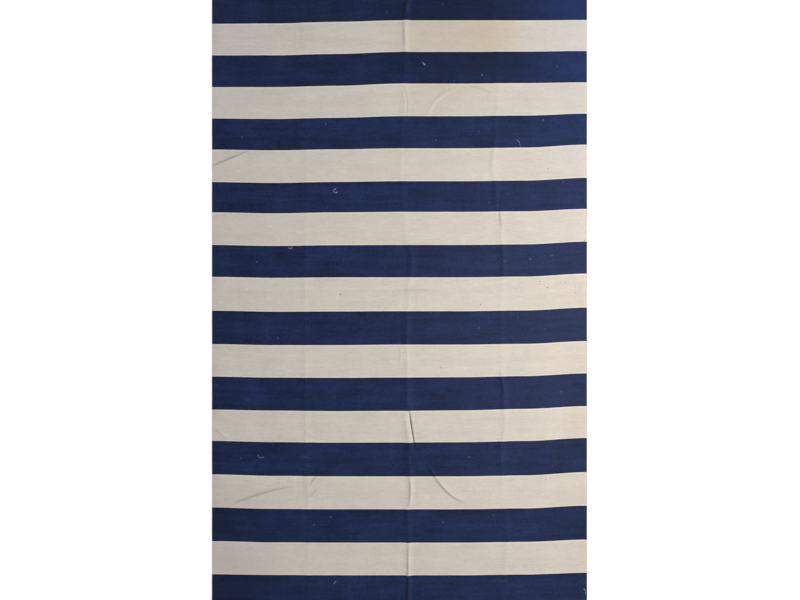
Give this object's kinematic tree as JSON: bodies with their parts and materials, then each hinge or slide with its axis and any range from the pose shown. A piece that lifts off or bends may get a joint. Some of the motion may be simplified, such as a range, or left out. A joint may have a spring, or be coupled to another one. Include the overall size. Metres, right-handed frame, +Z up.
{
  "type": "dhurrie rug",
  "caption": "Rectangular flat-woven cotton rug with even crosswise bands, lying open on a floor with the low creases left by folding.",
  "frame": {"origin": "centre of the rug's footprint, on the floor that it lies on", "axes": "+X across the rug to the right, +Y along it towards the far end, +Z up out of the floor"},
  "size_m": [1.5002, 2.48, 0.0075],
  "materials": {
    "cotton_weave": "matt weft-faced plain weave in alternating navy and cream cotton bands"
  },
  "bodies": {
    "root": {"rug": "cotton_weave"}
  },
  "joints": []
}
